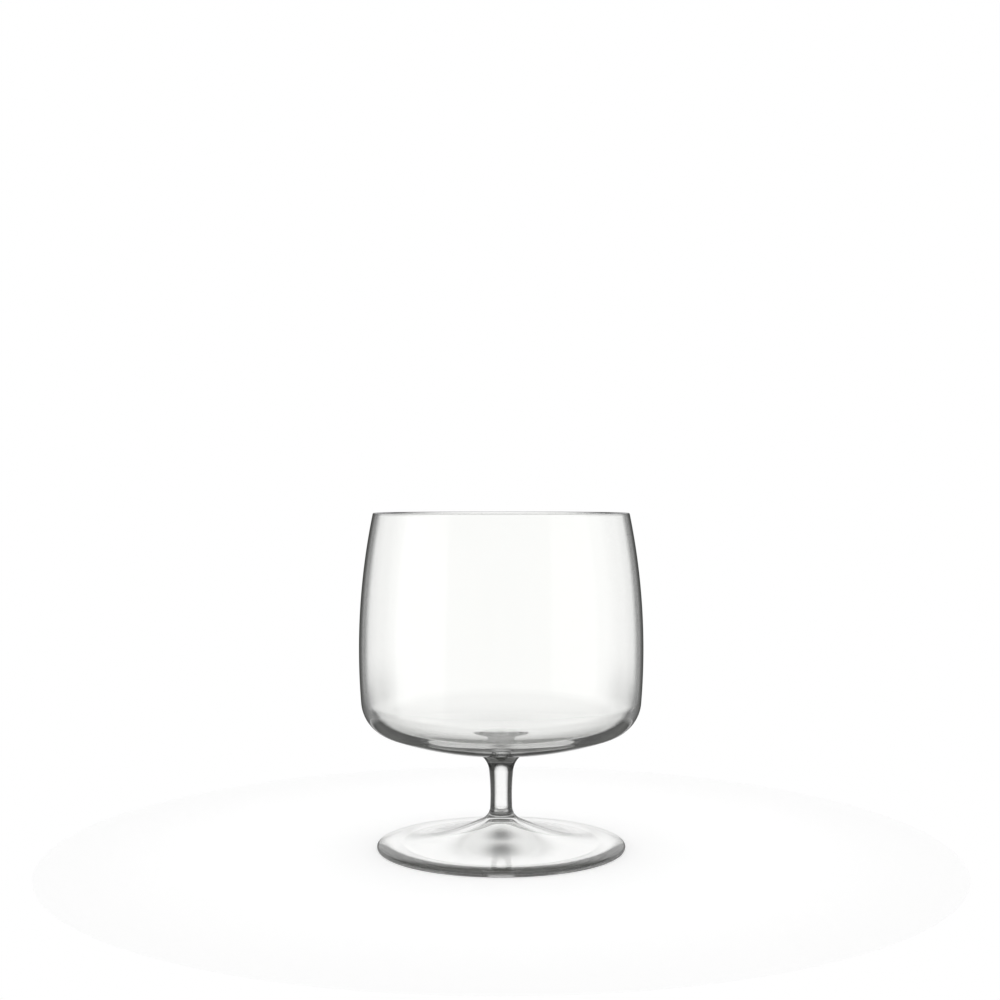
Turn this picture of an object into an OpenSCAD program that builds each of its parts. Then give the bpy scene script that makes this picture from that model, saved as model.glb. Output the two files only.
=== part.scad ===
// Short-stemmed brandy snifter in clear glass: a bowl, a stem and a foot, fused while hot.
// Every piece is turned about the Z axis, and the glass stands on the plane z = 0.
// The outline is one chain of arcs, each tangent to the next: foot edge, foot shoulder, foot top,
// collar fillet, stem waist, button fillet, bowl underside, bowl corner, bowl wall and rim.
// A point of an outline is [distance from the axis, height].

/* [Bowl] */
// Height of the rim above the table
overall_h = 112; // [104:0.5:125]
// Outer diameter of the bowl at its widest
bowl_d = 95; // [90:0.5:104]
// Height of the bowl's widest level
belly_z = 67; // [62:0.5:74]
// Outer diameter of the bowl at the rim
rim_d = 86; // [78:0.5:87]
// Glass thickness at the rim, which is rounded to half of it
rim_t = 1.2; // [0.9:0.1:2]
// Wall thickness at the widest level
wall_t = 1.4; // [1:0.1:2.4]
// Height of the bowl's lowest point, as if it had no button
underside_z = 31.6; // [29:0.1:35]
// Radius of the underside's curve
underside_r = 117; // [95:1:160]
// Outer radius of the corner between wall and underside
corner_r = 12.4; // [9:0.1:17]
// Glass thickness of the floor at its centre
floor_t = 3; // [2:0.1:6]
// Radius of the inner floor's curve
floor_r = 132; // [110:1:180]
// Inner radius of the corner between wall and floor
inner_corner_r = 11.5; // [8:0.1:14]

/* [Stem] */
// Diameter of the stem at its waist
waist_d = 7.2; // [6:0.1:10]
// Height of the waist
waist_z = 17.5; // [16:0.1:20]
// Radius of the waist's hollow curve
waist_r = 75; // [50:1:120]
// Radius of the fillet from the stem to the bowl's underside
button_fillet_r = 7; // [5:0.1:9]

/* [Foot] */
// Diameter of the foot
foot_d = 83; // [76:0.5:92]
// Thickness of the foot's edge, which is rounded to half of it
foot_edge_t = 1.6; // [1.2:0.1:2.4]
// Radius of the shoulder, where the foot's top rounds over to its edge
foot_shoulder_r = 20; // [14:0.5:28]
// Slope where the shoulder meets the edge, in degrees
foot_shoulder_slope = 15; // [10:0.5:20]
// Radius of the foot top's hollow curve
foot_top_r = 78; // [70:1:95]
// Slope where the foot's top meets the shoulder, in degrees
foot_top_slope = 2; // [1:0.1:4]
// Radius of the fillet from the foot to the stem
collar_fillet_r = 4.8; // [3.5:0.1:6]
// Width of the flat ring that the glass stands on
rest_ring_w = 7.7; // [6:0.1:9]
// Radius of the rounded top of the hollow under the foot
hollow_apex_r = 10; // [7:0.5:14]

/* [Hidden] */

// Clear glass with a faint grey tone
glass_tone = [0.86, 0.88, 0.86, 0.4];

// Straight steps in each arc of an outline, and in a full turn
arc_steps = 16;
$fn = 96;

// Direction from one point to another, in degrees
function heading(from, to) = atan2(to.y - from.y, to.x - from.x);

// Point at a distance and direction from a centre
function polar(centre, radius, angle) = centre + radius * [cos(angle), sin(angle)];

// Points along an arc, from one direction to another
function arc(centre, radius, from, to) =
  [for (i = [0 : arc_steps]) polar(centre, radius, from + (to - from) * i / arc_steps)];

// Point at distance a from p and distance b from q.
// It lies to the right of the way from p to q where side is 1, and to the left where side is -1.
function meet(p, q, a, b, side = 1) =
  let (span = norm(q - p),
       ahead = (q - p) / span,
       along = (a * a - b * b + span * span) / (2 * span),
       aside = side * sqrt(a * a - along * along))
  p + along * ahead + aside * [ahead.y, -ahead.x];

// Radius of an arc that sets off upright and moves towards the axis by depth over a length.
// It is below zero for an arc that moves away from the axis, whose centre is then outside.
function bow_radius(depth, length) = (depth * depth + length * length) / (2 * depth);

// Direction at which an arc of such a radius passes a point
function bearing(centre, radius, point) = radius > 0 ? heading(centre, point) : heading(point, centre);

// Lists of points end to end, where each list starts at the last point of the one before
function chain(lists) =
  [for (k = [0 : len(lists) - 1]) for (i = [min(k, 1) : len(lists[k]) - 1]) lists[k][i]];

function reversed(points) = [for (i = [len(points) - 1 : -1 : 0]) points[i]];

// Rim: the circle that rounds the top of the wall
lip_r = rim_t / 2;
lip_c = [rim_d / 2 - lip_r, overall_h - lip_r];

// Outside of the bowl: wall, underside and the corner between them
belly_r = bowl_d / 2;
wall_r = bow_radius(belly_r - lip_r - lip_c.x, lip_c.y - belly_z) + lip_r;
wall_c = [belly_r - wall_r, belly_z];
underside_c = [0, underside_z + underside_r];
corner_c = meet(wall_c, underside_c, wall_r - corner_r, underside_r - corner_r, sign(wall_r));

// Inside of the bowl: wall, floor and the corner between them
inner_belly_r = belly_r - wall_t;
inner_wall_r = bow_radius(inner_belly_r + lip_r - lip_c.x, lip_c.y - belly_z) - lip_r;
inner_wall_c = [inner_belly_r - inner_wall_r, belly_z];
floor_c = [0, underside_z + floor_t + floor_r];
inner_corner_c = meet(inner_wall_c, floor_c, inner_wall_r - inner_corner_r, floor_r - inner_corner_r,
                      sign(inner_wall_r));

// Outside of the foot: edge, shoulder and hollow top
edge_r = foot_edge_t / 2;
edge_c = [foot_d / 2 - edge_r, edge_r];
edge_top = 90 - foot_shoulder_slope;
shoulder_c = polar(edge_c, edge_r - foot_shoulder_r, edge_top);
shoulder_top = 90 - foot_top_slope;
foot_top_c = polar(shoulder_c, foot_shoulder_r + foot_top_r, shoulder_top);

// Underside of the foot: a hollow that runs alongside the foot's top and is rounded at the axis
ring_inner = [edge_c.x - rest_ring_w, 0];
hollow_r = norm(ring_inner - foot_top_c);
apex_c = [0, foot_top_c.y - sqrt(pow(hollow_r + hollow_apex_r, 2) - pow(foot_top_c.x, 2))];

// Stem: the waist's curve and the fillets that lead into it from the bowl and the foot
waist_c = [waist_d / 2 + waist_r, waist_z];
button_c = meet(underside_c, waist_c, underside_r + button_fillet_r, waist_r - button_fillet_r);
collar_c = meet(foot_top_c, waist_c, foot_top_r - collar_fillet_r, waist_r - collar_fillet_r);

// Seams where the hot pieces are fused, at the two ends of the waist's curve
upper_seam = polar(waist_c, waist_r, heading(waist_c, button_c));
lower_seam = polar(waist_c, waist_r, heading(waist_c, collar_c));

// Side of the bowl from the rim down to its base, with a round corner between wall and base
function bowl_side(side_c, side_r, round_c, round_r, base_c, base_r, base_end) =
  let (wall_start = bearing(side_c, side_r, lip_c),
       wall_end = bearing(side_c, side_r, round_c),
       base_start = heading(base_c, round_c))
  chain([arc(side_c, side_r, wall_start, wall_end),
         arc(round_c, round_r, wall_end, base_start),
         arc(base_c, base_r, base_start, base_end)]);

module turned(outline) {
  color(glass_tone) rotate_extrude() polygon(outline);
}

// Blown bowl with its rounded rim, its floor and the button that the stem is fused to
module bowl() {
  outside = bowl_side(wall_c, wall_r, corner_c, corner_r, underside_c, underside_r,
                      heading(underside_c, button_c));
  inside = bowl_side(inner_wall_c, inner_wall_r, inner_corner_c, inner_corner_r, floor_c, floor_r, -90);
  rim = arc(lip_c, lip_r, 180 + bearing(inner_wall_c, inner_wall_r, lip_c), bearing(wall_c, wall_r, lip_c));
  button = arc(button_c, button_fillet_r, heading(button_c, underside_c), heading(waist_c, button_c));
  turned(chain([reversed(inside), rim, outside, button, [upper_seam, [0, upper_seam.y]]]));
}

// Drawn stem, narrowest at its waist
module stem() {
  side = arc(waist_c, waist_r, 180 + heading(lower_seam, waist_c), 180 + heading(upper_seam, waist_c));
  turned(concat([[0, lower_seam.y]], side, [[0, upper_seam.y]]));
}

// Pressed foot with a collar for the stem, a rounded edge, a flat rest ring and a hollow inside it
module foot() {
  collar = arc(collar_c, collar_fillet_r, heading(waist_c, collar_c), heading(foot_top_c, collar_c));
  top = arc(foot_top_c, foot_top_r, heading(foot_top_c, collar_c), heading(foot_top_c, shoulder_c));
  shoulder = arc(shoulder_c, foot_shoulder_r, shoulder_top, edge_top);
  edge = arc(edge_c, edge_r, edge_top, -90);
  hollow = arc(foot_top_c, hollow_r, heading(foot_top_c, ring_inner), heading(foot_top_c, apex_c));
  apex = arc(apex_c, hollow_apex_r, heading(apex_c, foot_top_c), 90);
  turned(concat([[0, lower_seam.y]], chain([collar, top, shoulder, edge]), chain([hollow, apex])));
}

bowl();
stem();
foot();
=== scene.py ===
"""Short-stemmed brandy snifter in clear glass: its three pieces, its finish, its stage and its camera.

Each piece is turned as on a lathe: an outline of arcs is drawn in the XZ plane and spun about the Z axis.
Lengths are in metres, in the frame of the packed model.
A point of an outline is (distance from the axis, height).
"""

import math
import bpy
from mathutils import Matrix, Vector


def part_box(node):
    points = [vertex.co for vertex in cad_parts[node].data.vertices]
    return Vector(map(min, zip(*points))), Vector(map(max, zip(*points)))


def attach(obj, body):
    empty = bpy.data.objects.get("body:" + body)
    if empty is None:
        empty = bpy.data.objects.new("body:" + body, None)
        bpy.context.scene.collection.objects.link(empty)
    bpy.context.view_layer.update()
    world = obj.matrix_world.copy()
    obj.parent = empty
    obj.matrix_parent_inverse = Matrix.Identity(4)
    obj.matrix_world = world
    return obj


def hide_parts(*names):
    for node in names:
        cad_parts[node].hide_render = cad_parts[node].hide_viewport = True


bl_info = {
    "name": "Brandy Snifter",
    "version": (1, 0, 0),
    "blender": (4, 5, 0),
    "location": "3D View > Sidebar > Snifter",
    "description": "Models a short-stemmed brandy snifter in clear glass and sets up its stage",
    "category": "Add Mesh",
}

from collections import namedtuple
from types import SimpleNamespace

import bpy
from mathutils import Vector

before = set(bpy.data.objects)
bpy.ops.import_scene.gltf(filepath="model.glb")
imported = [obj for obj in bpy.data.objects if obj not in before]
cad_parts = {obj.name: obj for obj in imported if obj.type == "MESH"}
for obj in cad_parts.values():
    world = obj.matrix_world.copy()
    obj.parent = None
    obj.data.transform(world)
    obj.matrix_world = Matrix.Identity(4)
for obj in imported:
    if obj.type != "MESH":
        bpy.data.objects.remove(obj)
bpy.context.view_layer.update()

BOWL_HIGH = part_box("bowl")[1]
FOOT_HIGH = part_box("foot")[1]

Circle = namedtuple("Circle", "centre radius")

# How finely an outline is drawn, and how many steps it takes round the axis
ARC_STEP_LENGTH = 0.001
ARC_STEP_ANGLE = math.radians(3.0)
TURN_STEPS = 256

# Points closer than this are one point, a face this close to a seam's height lies in it,
# and edges that turn by more than this angle stay sharp
MERGE_DISTANCE = 1e-7
SEAM_REACH = 1e-6
SHARP_ANGLE = math.radians(10.0)

# Directions in the plane of the outline
STRAIGHT_UP = math.pi / 2
STRAIGHT_DOWN = -math.pi / 2

# Waves for each metre of the surface, and the scale of their pattern along X, Y and Z
BLOWN_WAVES = 35.0
BLOWN_SCALE = (1.0, 1.0, 0.5)
DRAWN_WAVES = 500.0
DRAWN_SCALE = (1.0, 1.0, 0.06)
PRESSED_WAVES = 180.0
PRESSED_SCALE = (1.0, 1.0, 0.0)
WAVE_DETAIL = 1.0

# Painted shade: the glass's tone is darkened where it turns from the eye, standing in for the dark
# surroundings that the glass bends and mirrors at its edges. An edge darkens from the first share of a turn
# to the second, comes in over each of its ranges of height, and is at most as dark as its depth.
DarkEdge = namedtuple("DarkEdge", "turn heights depth")
RIM_EDGE = DarkEdge((0.1, 0.5), [(BOWL_HIGH.z - 0.0012, BOWL_HIGH.z - 0.0004)], 0.6)
WALL_EDGE = DarkEdge((0.69, 0.83), [(0.0405, 0.0445)], 1.0)
# Painted soft shade: a faint grey over a wider band in from the wall's dark edge
WALL_PAINTED_SOFT_SHADE = DarkEdge((0.33, 0.5), [(0.0405, 0.0445)], 0.09)
CORNER_EDGE = DarkEdge((0.57, 0.8), [(0.0445, 0.0475), (0.057, 0.048)], 0.9)
# Painted soft shade: a grey over a wider band in from the corner's dark edge
CORNER_PAINTED_SOFT_SHADE = DarkEdge((0.25, 0.5), [(0.0445, 0.0485), (0.066, 0.048)], 0.25)
BUTTON_EDGE = DarkEdge((0.06, 0.25), [(0.0305, 0.0285)], 1.0)
STEM_EDGE = DarkEdge((0.06, 0.25), [], 1.0)
COLLAR_EDGE = DarkEdge((0.06, 0.25), [(0.0105, 0.0125)], 1.0)

# At this blend, Facing of a Layer Weight node is 1 less the cosine of the turn
PLAIN_BLEND = 0.5

WHITE = (1.0, 1.0, 1.0)
BLACK = (0.0, 0.0, 0.0)

# The floor's own light, painted brighter near the axis to lift the object's shadow, with a painted pool of
# light under the foot: its level under the foot, where that ends, and where the open floor begins
UNDER_FOOT_PAINTED_LIGHT = 0.62
UNDER_FOOT_END = (0.036, 0.043)
OPEN_FLOOR_START = 0.06

# Two soft shades on the floor, before and behind the stem
STEM_SHADE_WIDTH = 0.0085
STEM_SHADE_LENGTH = 0.018
STEM_SHADE_OFFSET = 0.0105
STEM_SHADE_TONE = 0.02

# Light dims to this share as it is mirrored time after time inside the glass
DIM_SHARE = 0.1
ROOM_MIRRORINGS = (2.0, 5.0)
FLOOR_MIRRORINGS = (0.0, 1.0)

# A floor that the glass mirrors is less dim where it is seen steeply, where it is seen at a low angle
# from outside the glass, under the foot and far from the axis
FLOOR_STEEP = (0.3, 0.15)
FLOOR_STEEP_SHARE = 0.4
FLOOR_SKIM = (0.6, 0.8)
FLOOR_SKIM_SHARE = 0.8
FLOOR_NEAR = (0.15, 0.13)
FLOOR_UNDER = (0.0385, 0.0355)
FLOOR_UNDER_SHARE = 0.7
FLOOR_FAR = (0.11, 0.15)

# The glass stands against white, with dark flags between the white panels of a ring.
# Panels stand at every eighth of a turn, so that each side of the glass has white behind it.
PANEL_SPACING = math.radians(45.0)
FLAG_EDGE = (math.radians(18.0), math.radians(22.5))

# The room that the glass mirrors is dark behind the glass and bright on the camera's side,
# with a backdrop straight ahead, a ceiling that is dark overhead, and a brighter panel at the left
ROOM_SIDES = (0.97, 0.7)
CEILING_RISE = (math.radians(4.0), math.radians(14.0))
BACKDROP_AHEAD = (math.cos(math.radians(13.0)), math.cos(math.radians(8.0)))
BACKDROP_RISE = (math.radians(-13.0), math.radians(-9.0))
BACKDROP_SHARE = 0.85
ZENITH_RISE = (math.radians(24.0), math.radians(34.0))
ZENITH_DARK = 0.85
SIDE_PANEL_EDGE = (-0.68, -0.72)
SIDE_PANEL_BACK = (0.1, 0.0)
SIDE_PANEL_LIGHT = 1.4

# Depths of a light path: more than none, deep enough to be in the bowl's second wall,
# and the most that is followed
SOME_DEPTH = 0.5
SECOND_WALL_DEPTH = 2.5
LONGEST_PATH = 40


# Properties

def length(name, description, default):
    """Length property in metres."""
    return bpy.props.FloatProperty(
        name=name, description=description, default=default, min=0.0, precision=5,
        subtype="DISTANCE", unit="LENGTH",
    )


def angle(name, description, default):
    """Angle property, with its default in degrees."""
    return bpy.props.FloatProperty(
        name=name, description=description, default=math.radians(default), subtype="ANGLE", unit="ROTATION",
    )


def share(name, description, default):
    """Property from 0 to 1."""
    return bpy.props.FloatProperty(
        name=name, description=description, default=default, min=0.0, max=1.0, precision=4, subtype="FACTOR",
    )


def tone(name, description, default):
    """Colour property."""
    return bpy.props.FloatVectorProperty(
        name=name, description=description, default=default, size=3, min=0.0, max=1.0, subtype="COLOR",
    )


class SnifterBowlSizes(bpy.types.PropertyGroup):
    """Sizes of the bowl."""

    rim_height: length("Rim height", "Height of the rim above the table", BOWL_HIGH.z)
    rim_diameter: length("Rim diameter", "Outer diameter at the rim", 0.086)
    rim_thickness: length("Rim thickness", "Glass thickness at the rounded rim", 0.0012)
    belly_diameter: length("Belly diameter", "Outer diameter at the widest level", 2 * BOWL_HIGH.x)
    belly_height: length("Belly height", "Height of the widest level", 0.067)
    wall_thickness: length("Wall thickness", "Glass thickness at the widest level", 0.0014)
    underside_height: length("Underside height", "Lowest point of the bowl, as if it had no button", 0.0316)
    underside_radius: length("Underside radius", "Radius of the underside's curve", 0.117)
    corner_radius: length("Corner radius", "Outer radius between wall and underside", 0.0124)
    floor_thickness: length("Floor thickness", "Glass thickness at the centre of the floor", 0.003)
    floor_radius: length("Floor radius", "Radius of the inner floor's curve", 0.132)
    inner_corner_radius: length("Inner corner radius", "Inner radius between wall and floor", 0.0115)


class SnifterStemSizes(bpy.types.PropertyGroup):
    """Sizes of the stem and of the button above it."""

    waist_diameter: length("Waist diameter", "Diameter of the stem at its waist", 0.0072)
    waist_height: length("Waist height", "Height of the stem's waist", 0.0175)
    waist_radius: length("Waist radius", "Radius of the waist's hollow curve", 0.075)
    button_radius: length("Button radius", "Fillet from the stem to the bowl's underside", 0.007)


class SnifterFootSizes(bpy.types.PropertyGroup):
    """Sizes of the foot."""

    diameter: length("Diameter", "Diameter of the foot", 2 * FOOT_HIGH.x)
    edge_thickness: length("Edge thickness", "Thickness of the rounded edge", 0.0016)
    shoulder_slope: angle("Shoulder slope", "Slope where the shoulder meets the rounded edge", 15.0)
    shoulder_radius: length("Shoulder radius", "Radius of the shoulder above the edge", 0.020)
    slope: angle("Slope", "Least slope of the foot's top, where it meets the shoulder", 2.0)
    top_radius: length("Top radius", "Radius of the foot top's hollow curve", 0.078)
    collar_radius: length("Collar radius", "Fillet from the foot to the stem", 0.0048)
    ring_width: length("Rest ring width", "Width of the flat ring that the glass stands on", 0.0077)
    apex_radius: length("Apex radius", "Radius of the hollow under the foot at its centre", 0.010)


class SnifterGlassFinish(bpy.types.PropertyGroup):
    """Finish of the glass."""

    clear_tone: tone("Clear tone", "Tone of the glass where it is clearest", (0.995, 0.996, 0.99))
    grey_tone: tone("Grey tone", "Tone of the faint cords in the glass", (0.98, 0.984, 0.972))
    # Painted shade: the near-black tone that the glass's edges darken to, standing in for the dark
    # surroundings seen along them
    painted_edge_shade: tone("Edge tone", "Tone of the glass seen along its surface", (0.005, 0.0052, 0.0046))
    ior: bpy.props.FloatProperty(
        name="Refraction", description="Refractive index of the glass", default=1.5, min=1.0, max=2.0,
    )
    wave_height: length("Wave height", "Height of the faint waves in the surface", 0.000006)
    film: share("Film", "Roughness of the faintest film on the polished surface", 0.02)


class SnifterStage(bpy.types.PropertyGroup):
    """Floor, surround and camera."""

    floor_tone: tone("Floor tone", "Colour of the floor", (0.8, 0.8, 0.8))
    floor_glow: share("Floor glow", "Light of its own that brings the floor to white", 0.3)
    floor_radius: length("Floor radius", "Radius of the round floor", 0.15)
    floor_gap: length("Floor gap", "Gap that keeps the floor clear of the rest ring", 0.0001)
    flag_tone: tone("Flag tone", "Tone of the dark flags that draw the glass's edges", (0.075, 0.078, 0.07))
    room_tone: tone("Room tone", "Tone of the darkest side of the room", (0.05, 0.052, 0.046))
    camera_distance: length("Camera distance", "Distance from the axis to the camera", 0.499)
    camera_height: length("Camera height", "Height of the level camera", 0.1162)
    camera_aside: length("Camera aside", "How far the camera stands to the left of the axis", 0.0004)
    focal_length: bpy.props.FloatProperty(
        name="Focal length", description="Focal length on a 36 mm sensor", default=53.6, unit="CAMERA",
    )


# Geometry of the outline

def heading(start, end):
    """Direction from one point to another."""
    return math.atan2(end.y - start.y, end.x - start.x)


def polar(circle, direction):
    """Point of a circle in a direction from its centre."""
    return circle.centre + circle.radius * Vector((math.cos(direction), math.sin(direction)))


def on_axis(point):
    """Point of the axis at another point's height."""
    return Vector((0.0, point.y))


def meet(p, q, a, b):
    """Point at distance a from p and b from q, to the right of the way from p to q."""
    span = (q - p).length
    ahead = (q - p) / span
    along = (a * a - b * b + span * span) / (2 * span)
    aside = math.sqrt(a * a - along * along)
    return p + along * ahead + aside * Vector((ahead.y, -ahead.x))


def inner_tangent(first, second, radius):
    """Circle of a radius that lies inside two circles and touches both."""
    return Circle(meet(first.centre, second.centre, first.radius - radius, second.radius - radius), radius)


def bow_radius(depth, reach):
    """Radius of an arc that sets off upright and moves towards the axis by depth over its reach."""
    return (depth * depth + reach * reach) / (2 * depth)


def glass_circles(scene):
    """The circles that the whole outline is made of, each tangent to the next."""
    bowl, stem, foot = scene.snifter_bowl, scene.snifter_stem, scene.snifter_foot
    g = SimpleNamespace()

    lip_r = bowl.rim_thickness / 2
    g.lip = Circle(Vector((bowl.rim_diameter / 2 - lip_r, bowl.rim_height - lip_r)), lip_r)
    rise = g.lip.centre.y - bowl.belly_height

    belly_r = bowl.belly_diameter / 2
    wall_r = bow_radius(belly_r - lip_r - g.lip.centre.x, rise) + lip_r
    g.wall = Circle(Vector((belly_r - wall_r, bowl.belly_height)), wall_r)
    underside_r = bowl.underside_radius
    g.underside = Circle(Vector((0.0, bowl.underside_height + underside_r)), underside_r)
    g.corner = inner_tangent(g.wall, g.underside, bowl.corner_radius)

    inner_r = belly_r - bowl.wall_thickness
    wall_r = bow_radius(inner_r + lip_r - g.lip.centre.x, rise) - lip_r
    g.inner_wall = Circle(Vector((inner_r - wall_r, bowl.belly_height)), wall_r)
    floor_z = bowl.underside_height + bowl.floor_thickness
    g.floor = Circle(Vector((0.0, floor_z + bowl.floor_radius)), bowl.floor_radius)
    g.inner_corner = inner_tangent(g.inner_wall, g.floor, bowl.inner_corner_radius)

    edge_r = foot.edge_thickness / 2
    g.edge = Circle(Vector((foot.diameter / 2 - edge_r, edge_r)), edge_r)
    g.edge_top = STRAIGHT_UP - foot.shoulder_slope
    g.shoulder_top = STRAIGHT_UP - foot.slope
    inset = Circle(g.edge.centre, edge_r - foot.shoulder_radius)
    g.shoulder = Circle(polar(inset, g.edge_top), foot.shoulder_radius)
    reach = Circle(g.shoulder.centre, foot.top_radius + foot.shoulder_radius)
    g.foot_top = Circle(polar(reach, g.shoulder_top), foot.top_radius)
    g.ring_inner = Vector((g.edge.centre.x - foot.ring_width, 0.0))
    g.hollow = Circle(g.foot_top.centre, (g.ring_inner - g.foot_top.centre).length)
    apex_drop = math.sqrt((g.hollow.radius + foot.apex_radius) ** 2 - g.hollow.centre.x ** 2)
    g.apex = Circle(Vector((0.0, g.hollow.centre.y - apex_drop)), foot.apex_radius)

    waist_r = stem.waist_radius
    g.waist = Circle(Vector((stem.waist_diameter / 2 + waist_r, stem.waist_height)), waist_r)
    button_r = stem.button_radius
    button_c = meet(g.underside.centre, g.waist.centre, underside_r + button_r, waist_r - button_r)
    g.button = Circle(button_c, button_r)
    g.collar = inner_tangent(g.foot_top, g.waist, foot.collar_radius)
    g.upper_seam = polar(g.waist, heading(g.waist.centre, g.button.centre))
    g.lower_seam = polar(g.waist, heading(g.waist.centre, g.collar.centre))
    return g


# Modelling

def start_outline(name, point):
    """A new object in edit mode, with one selected vertex at the start of its outline."""
    bpy.ops.object.select_all(action="DESELECT")
    bpy.ops.mesh.primitive_plane_add(size=ARC_STEP_LENGTH)
    piece = bpy.context.object
    piece.name = name
    piece.data.name = name
    bpy.ops.object.mode_set(mode="EDIT")
    bpy.ops.mesh.select_all(action="SELECT")
    bpy.ops.mesh.merge(type="CENTER")
    bpy.ops.transform.translate(value=(point.x, 0.0, point.y))
    return piece


def draw_arcs(*arcs):
    """Spins the outline's last vertex along arcs, each with its circle and its first and last direction."""
    for circle, start, end in arcs:
        sweep = end - start
        steps = math.ceil(max(abs(sweep) * circle.radius / ARC_STEP_LENGTH, abs(sweep) / ARC_STEP_ANGLE))
        centre = (circle.centre.x, 0.0, circle.centre.y)
        bpy.ops.mesh.spin(steps=steps, angle=sweep, center=centre, axis=(0.0, 1.0, 0.0))


def draw_line(start, end):
    """Extrudes the outline's last vertex in a straight line."""
    move = {"value": (end.x - start.x, 0.0, end.y - start.y)}
    bpy.ops.mesh.extrude_vertices_move(TRANSFORM_OT_translate=move)


def turn(piece):
    """Spins the finished outline about the axis and leaves a closed, smooth mesh."""
    bpy.ops.mesh.select_all(action="SELECT")
    bpy.ops.mesh.spin(steps=TURN_STEPS, angle=math.tau, center=(0.0, 0.0, 0.0), axis=(0.0, 0.0, 1.0))
    bpy.ops.mesh.select_all(action="SELECT")
    bpy.ops.mesh.remove_doubles(threshold=MERGE_DISTANCE)
    bpy.ops.mesh.normals_make_consistent(inside=False)
    bpy.ops.mesh.select_mode(type="FACE")
    bpy.ops.mesh.select_all(action="DESELECT")
    bpy.ops.object.mode_set(mode="OBJECT")
    bpy.ops.object.shade_smooth_by_angle(angle=SHARP_ANGLE)


def dress(piece, node, glass, seam_heights):
    """Gives a piece its glass, leaves its fused seams clear, hangs it under the root body and hides its CAD
    node.
    """
    mesh = piece.data
    seam = fused_seam()
    mesh.materials.append(glass)
    mesh.materials.append(seam)
    for face in mesh.polygons:
        heights = [mesh.vertices[i].co.z for i in face.vertices]
        face.select = any(all(abs(z - level) < SEAM_REACH for z in heights) for level in seam_heights)
    bpy.ops.object.mode_set(mode="EDIT")
    piece.active_material_index = mesh.materials.find(seam.name)
    bpy.ops.object.material_slot_assign()
    bpy.ops.mesh.select_mode(type="VERT")
    bpy.ops.object.mode_set(mode="OBJECT")
    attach(piece, "root")
    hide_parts(node)


class SNIFTER_OT_bowl(bpy.types.Operator):
    """Turn the bowl, with its rounded rim, floor and button"""

    bl_idname = "snifter.bowl"
    bl_label = "Bowl"
    bl_options = {"REGISTER", "UNDO"}

    def execute(self, context):
        g = glass_circles(context.scene)
        inner_corner = heading(g.floor.centre, g.inner_corner.centre)
        inner_wall = heading(g.inner_wall.centre, g.inner_corner.centre)
        inner_rim = heading(g.inner_wall.centre, g.lip.centre)
        outer_rim = heading(g.wall.centre, g.lip.centre)
        outer_wall = heading(g.wall.centre, g.corner.centre)
        underside = heading(g.underside.centre, g.corner.centre)
        button_top = heading(g.underside.centre, g.button.centre)
        button_seam = heading(g.waist.centre, g.button.centre)

        piece = start_outline("glass_bowl", polar(g.floor, STRAIGHT_DOWN))
        draw_arcs(
            (g.floor, STRAIGHT_DOWN, inner_corner),
            (g.inner_corner, inner_corner, inner_wall),
            (g.inner_wall, inner_wall, inner_rim),
            (g.lip, math.pi + inner_rim, outer_rim),
            (g.wall, outer_rim, outer_wall),
            (g.corner, outer_wall, underside),
            (g.underside, underside, button_top),
            (g.button, math.pi + button_top, button_seam),
        )
        draw_line(g.upper_seam, on_axis(g.upper_seam))
        turn(piece)
        dress(piece, "bowl", blown_glass(context.scene), [g.upper_seam.y])
        return {"FINISHED"}


class SNIFTER_OT_stem(bpy.types.Operator):
    """Turn the stem between its two fused seams"""

    bl_idname = "snifter.stem"
    bl_label = "Stem"
    bl_options = {"REGISTER", "UNDO"}

    def execute(self, context):
        g = glass_circles(context.scene)
        low = math.pi + heading(g.lower_seam, g.waist.centre)
        high = math.pi + heading(g.upper_seam, g.waist.centre)

        middle = on_axis(g.lower_seam)
        piece = start_outline("glass_stem", middle)
        draw_line(middle, g.lower_seam)
        draw_arcs((g.waist, low, high))
        draw_line(g.upper_seam, on_axis(g.upper_seam))
        turn(piece)
        dress(piece, "stem", drawn_glass(context.scene), [g.lower_seam.y, g.upper_seam.y])
        return {"FINISHED"}


class SNIFTER_OT_foot(bpy.types.Operator):
    """Turn the foot, with its collar, rounded edge, rest ring and hollow"""

    bl_idname = "snifter.foot"
    bl_label = "Foot"
    bl_options = {"REGISTER", "UNDO"}

    def execute(self, context):
        g = glass_circles(context.scene)
        collar_seam = heading(g.waist.centre, g.collar.centre)
        collar_foot = heading(g.foot_top.centre, g.collar.centre)
        shoulder = heading(g.foot_top.centre, g.shoulder.centre)
        ring = heading(g.hollow.centre, g.ring_inner)
        apex = heading(g.hollow.centre, g.apex.centre)

        middle = on_axis(g.lower_seam)
        piece = start_outline("glass_foot", middle)
        draw_line(middle, g.lower_seam)
        draw_arcs(
            (g.collar, collar_seam, collar_foot),
            (g.foot_top, collar_foot, shoulder),
            (g.shoulder, g.shoulder_top, g.edge_top),
            (g.edge, g.edge_top, STRAIGHT_DOWN),
        )
        draw_line(Vector((g.edge.centre.x, 0.0)), g.ring_inner)
        draw_arcs(
            (g.hollow, ring, apex),
            (g.apex, math.pi + apex, STRAIGHT_UP),
        )
        turn(piece)
        dress(piece, "foot", pressed_glass(context.scene), [g.lower_seam.y])
        return {"FINISHED"}


# Nodes

def empty_tree(owner):
    """Turns on the nodes of a material or world and clears them. Returns the tree."""
    owner.use_nodes = True
    owner.node_tree.nodes.clear()
    return owner.node_tree


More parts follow.
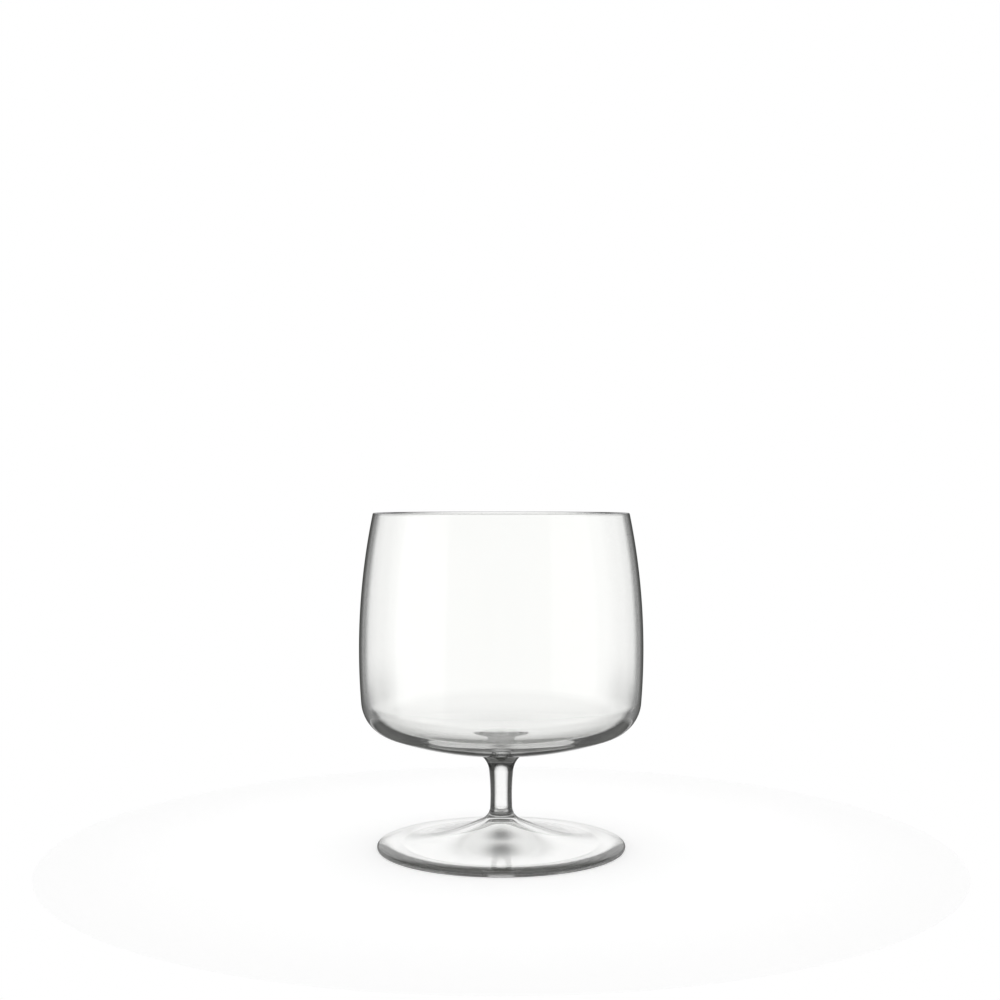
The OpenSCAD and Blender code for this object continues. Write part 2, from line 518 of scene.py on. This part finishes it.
def math_node(tree, operation, *values):
    """Math node whose inputs are sockets or numbers. Returns its output."""
    node = tree.nodes.new("ShaderNodeMath")
    node.operation = operation
    for socket, value in zip(node.inputs, values):
        if isinstance(value, bpy.types.NodeSocket):
            tree.links.new(value, socket)
        else:
            socket.default_value = value
    return node.outputs[0]


def math_row(tree, operation, first, *others):
    """Math nodes in a row, each of which takes in one more value. Returns the last output."""
    result = first
    for value in others:
        result = math_node(tree, operation, result, value)
    return result


def map_range(tree, value, start, ends=(0.0, 1.0), interpolation="LINEAR"):
    """Map Range node from one pair of numbers to another. Returns its output."""
    node = tree.nodes.new("ShaderNodeMapRange")
    node.interpolation_type = interpolation
    for label, number in zip(("From Min", "From Max", "To Min", "To Max"), (*start, *ends)):
        node.inputs[label].default_value = number
    tree.links.new(value, node.inputs["Value"])
    return node.outputs["Result"]


def smooth_range(tree, value, start):
    """Map Range node that rises smoothly from 0 to 1 between two numbers. Returns its output."""
    return map_range(tree, value, start, interpolation="SMOOTHSTEP")


def mix_tone(tree, factor, a, b):
    """Mix node between two colours, each a socket or three numbers. Returns its output."""
    node = tree.nodes.new("ShaderNodeMix")
    node.data_type = "RGBA"
    tree.links.new(factor, node.inputs["Factor"])
    for label, value in (("A", a), ("B", b)):
        if isinstance(value, bpy.types.NodeSocket):
            tree.links.new(value, node.inputs[label])
        else:
            node.inputs[label].default_value = (*value, 1.0)
    return node.outputs["Result"]


def grey(level):
    """Colour of a plain grey."""
    return (level, level, level)


def vector_node(tree, operation, vector, output):
    """Vector Math node with one input. Returns the named output."""
    node = tree.nodes.new("ShaderNodeVectorMath")
    node.operation = operation
    tree.links.new(vector, node.inputs[0])
    return node.outputs[output]


def separate(tree, vector):
    """The three parts of a vector, as the sockets X, Y and Z."""
    node = tree.nodes.new("ShaderNodeSeparateXYZ")
    tree.links.new(vector, node.inputs[0])
    return node.outputs


def object_place(tree):
    """Object coordinates. Returns the socket."""
    return tree.nodes.new("ShaderNodeTexCoord").outputs["Object"]


def mapped(tree, vector, scale, location=(0.0, 0.0, 0.0)):
    """Mapping node that scales and moves a place. Returns its output."""
    node = tree.nodes.new("ShaderNodeMapping")
    node.inputs["Location"].default_value = location
    node.inputs["Scale"].default_value = scale
    tree.links.new(vector, node.inputs["Vector"])
    return node.outputs["Vector"]


def turned_away(tree):
    """How far a surface turns from the eye: 0 where it faces it, 1 along its edge. Returns the socket."""
    node = tree.nodes.new("ShaderNodeLayerWeight")
    node.inputs["Blend"].default_value = PLAIN_BLEND
    return node.outputs["Facing"]


def mirror_dimming(tree, path, mirrorings):
    """Share of light that is left after it has been mirrored in the glass. Returns the socket."""
    return map_range(tree, path["Glossy Depth"], mirrorings, (1.0, DIM_SHARE))


# Materials

def fire_polish_group():
    """Node group for fire-polished glass: faint cords of tone, a breath of film and long shallow waves."""
    name = "fire polish"
    if name in bpy.data.node_groups:
        return bpy.data.node_groups[name]
    group = bpy.data.node_groups.new(name, "ShaderNodeTree")
    for label, kind in (("Place", "NodeSocketVector"), ("Waves per Metre", "NodeSocketFloat"),
                        ("Clear Tone", "NodeSocketColor"), ("Grey Tone", "NodeSocketColor"),
                        ("Film", "NodeSocketFloat")):
        group.interface.new_socket(label, in_out="INPUT", socket_type=kind)
    for label, kind in (("Tone", "NodeSocketColor"), ("Roughness", "NodeSocketFloat"),
                        ("Height", "NodeSocketFloat")):
        group.interface.new_socket(label, in_out="OUTPUT", socket_type=kind)
    given = group.nodes.new("NodeGroupInput").outputs
    out = group.nodes.new("NodeGroupOutput").inputs

    noise = group.nodes.new("ShaderNodeTexNoise")
    noise.inputs["Detail"].default_value = WAVE_DETAIL
    group.links.new(given["Place"], noise.inputs["Vector"])
    group.links.new(given["Waves per Metre"], noise.inputs["Scale"])
    waves = noise.outputs["Fac"]
    group.links.new(waves, out["Height"])
    group.links.new(mix_tone(group, waves, given["Clear Tone"], given["Grey Tone"]), out["Tone"])
    group.links.new(math_node(group, "MULTIPLY", waves, given["Film"]), out["Roughness"])
    return group


def darkened(tree, body, dark_edges, painted_edge_shade):
    """Tone of the glass with its painted dark edges, a painted shade that stands in for the dark surroundings
    along them. Returns the socket.
    """
    turned = turned_away(tree)
    height = separate(tree, object_place(tree))["Z"]
    for edge in dark_edges:
        bands = [smooth_range(tree, height, band) for band in edge.heights]
        dark = math_row(tree, "MULTIPLY", smooth_range(tree, turned, edge.turn), *bands, edge.depth)
        body = mix_tone(tree, dark, body, painted_edge_shade)
    return body


def polished_glass(scene, name, waves, dark_edges):
    """Clear fire-polished glass with painted dark edges, a painted shade for the dark surroundings along
    them.

    Returns the material and the input that its pattern's place goes to.
    """
    finish = scene.snifter_glass
    material = bpy.data.materials.new(name)
    tree = empty_tree(material)
    out = tree.nodes.new("ShaderNodeOutputMaterial")
    glass = tree.nodes.new("ShaderNodeBsdfPrincipled")
    glass.inputs["Transmission Weight"].default_value = 1.0
    glass.inputs["IOR"].default_value = finish.ior
    polish = tree.nodes.new("ShaderNodeGroup")
    polish.node_tree = fire_polish_group()
    polish.inputs["Waves per Metre"].default_value = waves
    polish.inputs["Clear Tone"].default_value = (*finish.clear_tone, 1.0)
    polish.inputs["Grey Tone"].default_value = (*finish.grey_tone, 1.0)
    polish.inputs["Film"].default_value = finish.film
    bump = tree.nodes.new("ShaderNodeBump")
    bump.inputs["Distance"].default_value = finish.wave_height

    body = darkened(tree, polish.outputs["Tone"], dark_edges, finish.painted_edge_shade)
    tree.links.new(body, glass.inputs["Base Color"])
    tree.links.new(polish.outputs["Roughness"], glass.inputs["Roughness"])
    tree.links.new(polish.outputs["Height"], bump.inputs["Height"])
    tree.links.new(bump.outputs["Normal"], glass.inputs["Normal"])
    tree.links.new(glass.outputs["BSDF"], out.inputs["Surface"])
    return material, polish.inputs["Place"]


def blown_glass(scene):
    """Glass of the bowl, with long waves from blowing."""
    edges = (BUTTON_EDGE, WALL_PAINTED_SOFT_SHADE, WALL_EDGE, CORNER_PAINTED_SOFT_SHADE, CORNER_EDGE, RIM_EDGE)
    material, place = polished_glass(scene, "blown glass", BLOWN_WAVES, edges)
    tree = material.node_tree
    tree.links.new(mapped(tree, object_place(tree), BLOWN_SCALE), place)
    return material


def drawn_glass(scene):
    """Glass of the stem, with faint lines along the way it was drawn."""
    material, place = polished_glass(scene, "drawn glass", DRAWN_WAVES, (STEM_EDGE,))
    tree = material.node_tree
    tree.links.new(mapped(tree, object_place(tree), DRAWN_SCALE), place)
    return material


def pressed_glass(scene):
    """Glass of the foot, with faint rings from spinning."""
    material, place = polished_glass(scene, "pressed glass", PRESSED_WAVES, (COLLAR_EDGE,))
    tree = material.node_tree
    flat = mapped(tree, object_place(tree), PRESSED_SCALE)
    rings = tree.nodes.new("ShaderNodeCombineXYZ")
    tree.links.new(vector_node(tree, "LENGTH", flat, "Value"), rings.inputs["X"])
    tree.links.new(rings.outputs["Vector"], place)
    return material


def fused_seam():
    """Seam where two pieces are fused: light passes it as if the glass were one body."""
    name = "fused seam"
    if name in bpy.data.materials:
        return bpy.data.materials[name]
    material = bpy.data.materials.new(name)
    tree = empty_tree(material)
    out = tree.nodes.new("ShaderNodeOutputMaterial")
    clear = tree.nodes.new("ShaderNodeBsdfTransparent")
    tree.links.new(clear.outputs["BSDF"], out.inputs["Surface"])
    return material


def floor_glow(tree, stage, place, away):
    """The floor's own light, which brings it to white, painted brighter near the axis with a pool of light
    under the foot, less two soft shades. Returns the socket.
    """
    # Painted pool of light: the floor glows brighter under the foot than on the open floor
    glow = grey(UNDER_FOOT_PAINTED_LIGHT)
    open_floor = (OPEN_FLOOR_START, stage.floor_radius)
    for reach, level in ((UNDER_FOOT_END, stage.floor_glow), (open_floor, 1.0 - stage.floor_tone[0])):
        glow = mix_tone(tree, smooth_range(tree, away, reach), glow, grey(level))
    either_way = vector_node(tree, "ABSOLUTE", place, "Vector")
    shade_place = mapped(
        tree, either_way, (1.0 / STEM_SHADE_WIDTH, 1.0 / STEM_SHADE_LENGTH, 0.0),
        location=(0.0, -STEM_SHADE_OFFSET / STEM_SHADE_LENGTH, 0.0))
    off_shade = vector_node(tree, "LENGTH", shade_place, "Value")
    return mix_tone(tree, smooth_range(tree, off_shade, (1.0, 0.0)), glow, grey(STEM_SHADE_TONE))


def floor_dimming(tree, away):
    """Share of the floor's light that is left after it has been mirrored in the glass. Returns the socket."""
    path = tree.nodes.new("ShaderNodeLightPath").outputs
    turned = turned_away(tree)
    outside = math_node(tree, "LESS_THAN", path["Transmission Depth"], SOME_DEPTH)
    near = smooth_range(tree, away, FLOOR_NEAR)
    steep = math_node(tree, "MULTIPLY", smooth_range(tree, turned, FLOOR_STEEP), FLOOR_STEEP_SHARE)
    skim = math_row(tree, "MULTIPLY", smooth_range(tree, turned, FLOOR_SKIM), near, outside, FLOOR_SKIM_SHARE)
    under = math_node(tree, "MULTIPLY", smooth_range(tree, away, FLOOR_UNDER), FLOOR_UNDER_SHARE)
    far = smooth_range(tree, away, FLOOR_FAR)
    return math_row(tree, "MAXIMUM", mirror_dimming(tree, path, FLOOR_MIRRORINGS), steep, skim, under, far)


def pale_floor(stage):
    """Matt pale floor with enough light of its own to reach white away from the shadow."""
    material = bpy.data.materials.new("pale floor")
    tree = empty_tree(material)
    out = tree.nodes.new("ShaderNodeOutputMaterial")
    matt = tree.nodes.new("ShaderNodeBsdfPrincipled")
    matt.inputs["Roughness"].default_value = 1.0
    matt.inputs["Specular IOR Level"].default_value = 0.0
    matt.inputs["Emission Strength"].default_value = 1.0
    place = object_place(tree)
    away = vector_node(tree, "LENGTH", place, "Value")
    glow = floor_glow(tree, stage, place, away)
    left = floor_dimming(tree, away)
    tree.links.new(mix_tone(tree, left, BLACK, glow), matt.inputs["Emission Color"])
    tree.links.new(mix_tone(tree, left, BLACK, stage.floor_tone), matt.inputs["Base Color"])
    tree.links.new(matt.outputs["BSDF"], out.inputs["Surface"])
    return material


# Stage

def seen_through(tree, stage, axes, path):
    """What is seen through the glass: white, with dark flags behind both walls. Returns the socket."""
    bearing = math_node(tree, "ARCTAN2", axes["Y"], axes["X"])
    off_panel = math_node(tree, "PINGPONG", bearing, PANEL_SPACING / 2)
    both_walls = math_node(tree, "GREATER_THAN", path["Transmission Depth"], SECOND_WALL_DEPTH)
    flags = math_node(tree, "MULTIPLY", smooth_range(tree, off_panel, FLAG_EDGE), both_walls)
    return mix_tone(tree, flags, WHITE, stage.flag_tone)


def mirrored_room(tree, stage, axes, path):
    """What the glass mirrors: a room, dark behind the glass and bright before it. Returns the socket."""
    raised = math_node(tree, "ARCSINE", axes["Z"])
    ahead = smooth_range(tree, axes["Y"], BACKDROP_AHEAD)
    above = smooth_range(tree, raised, BACKDROP_RISE)
    backdrop = math_row(tree, "MULTIPLY", ahead, above, BACKDROP_SHARE)
    sides = map_range(tree, axes["Y"], ROOM_SIDES)
    ceiling = smooth_range(tree, raised, CEILING_RISE)
    around = math_row(tree, "MAXIMUM", sides, ceiling, backdrop)
    zenith = smooth_range(tree, raised, ZENITH_RISE)
    below = math_node(tree, "MULTIPLY_ADD", zenith, -ZENITH_DARK, 1.0)
    bright = math_row(tree, "MULTIPLY", around, below, mirror_dimming(tree, path, ROOM_MIRRORINGS))

    aside = smooth_range(tree, axes["X"], SIDE_PANEL_EDGE)
    front = smooth_range(tree, axes["Y"], SIDE_PANEL_BACK)
    side_panel = math_node(tree, "MULTIPLY", aside, front)
    lit = mix_tone(tree, side_panel, WHITE, grey(SIDE_PANEL_LIGHT))
    return mix_tone(tree, bright, stage.room_tone, lit)


def studio_surround(scene):
    """World that is white to the camera and the floor, with dark flags and a dim room seen in the glass."""
    stage = scene.snifter_stage
    world = bpy.data.worlds.new("studio surround")
    scene.world = world
    tree = empty_tree(world)
    out = tree.nodes.new("ShaderNodeOutputWorld")
    light = tree.nodes.new("ShaderNodeBackground")
    path = tree.nodes.new("ShaderNodeLightPath").outputs
    axes = separate(tree, tree.nodes.new("ShaderNodeTexCoord").outputs["Generated"])

    lit_floor = math_node(tree, "GREATER_THAN", path["Diffuse Depth"], SOME_DEPTH)
    in_glass = math_node(tree, "SUBTRACT", path["Is Glossy Ray"], lit_floor)
    in_glass = math_node(tree, "MAXIMUM", in_glass, 0.0)
    mirrored = math_node(tree, "GREATER_THAN", path["Glossy Depth"], SOME_DEPTH)
    through = seen_through(tree, stage, axes, path)
    seen = mix_tone(tree, mirrored, through, mirrored_room(tree, stage, axes, path))
    tree.links.new(mix_tone(tree, in_glass, WHITE, seen), light.inputs["Color"])
    tree.links.new(light.outputs["Background"], out.inputs["Surface"])


class SNIFTER_OT_stage(bpy.types.Operator):
    """Set up the floor, the studio surround and the level camera"""

    bl_idname = "snifter.stage"
    bl_label = "Stage"
    bl_options = {"REGISTER", "UNDO"}

    def execute(self, context):
        scene = context.scene
        stage = scene.snifter_stage
        bpy.ops.object.select_all(action="DESELECT")
        bpy.ops.mesh.primitive_circle_add(
            vertices=TURN_STEPS, radius=stage.floor_radius, fill_type="NGON",
            location=(0.0, 0.0, -stage.floor_gap))
        floor = context.object
        floor.name = "floor"
        floor.data.materials.append(pale_floor(stage))

        studio_surround(scene)
        scene.view_settings.view_transform = "Standard"
        scene.cycles.max_bounces = LONGEST_PATH
        scene.cycles.glossy_bounces = LONGEST_PATH
        scene.cycles.transmission_bounces = LONGEST_PATH
        scene.cycles.transparent_max_bounces = LONGEST_PATH

        bpy.ops.object.camera_add(
            location=(-stage.camera_aside, -stage.camera_distance, stage.camera_height),
            rotation=(math.pi / 2, 0.0, 0.0))
        camera = context.object
        camera.name = "camera"
        camera.data.lens = stage.focal_length
        scene.camera = camera
        return {"FINISHED"}


class SNIFTER_PT_panel(bpy.types.Panel):
    """Sizes, finish and steps of the snifter"""

    bl_idname = "SNIFTER_PT_panel"
    bl_label = "Brandy Snifter"
    bl_space_type = "VIEW_3D"
    bl_region_type = "UI"
    bl_category = "Snifter"

    def draw(self, context):
        for group, attribute in PROPERTY_GROUPS:
            box = self.layout.box()
            box.label(text=group.__doc__)
            settings = getattr(context.scene, attribute)
            for name in group.__annotations__:
                box.prop(settings, name)
        for operator in STEPS:
            self.layout.operator(operator.bl_idname)


PROPERTY_GROUPS = (
    (SnifterBowlSizes, "snifter_bowl"),
    (SnifterStemSizes, "snifter_stem"),
    (SnifterFootSizes, "snifter_foot"),
    (SnifterGlassFinish, "snifter_glass"),
    (SnifterStage, "snifter_stage"),
)
STEPS = (SNIFTER_OT_bowl, SNIFTER_OT_stem, SNIFTER_OT_foot, SNIFTER_OT_stage)


def register():
    for group, attribute in PROPERTY_GROUPS:
        bpy.utils.register_class(group)
        setattr(bpy.types.Scene, attribute, bpy.props.PointerProperty(type=group))
    for operator in STEPS:
        bpy.utils.register_class(operator)
    bpy.utils.register_class(SNIFTER_PT_panel)


def unregister():
    bpy.utils.unregister_class(SNIFTER_PT_panel)
    for operator in reversed(STEPS):
        bpy.utils.unregister_class(operator)
    for group, attribute in reversed(PROPERTY_GROUPS):
        delattr(bpy.types.Scene, attribute)
        bpy.utils.unregister_class(group)


def main():
    register()
    bpy.ops.snifter.bowl()
    bpy.ops.snifter.stem()
    bpy.ops.snifter.foot()
    bpy.ops.snifter.stage()


if __name__ == "__main__":
    main()
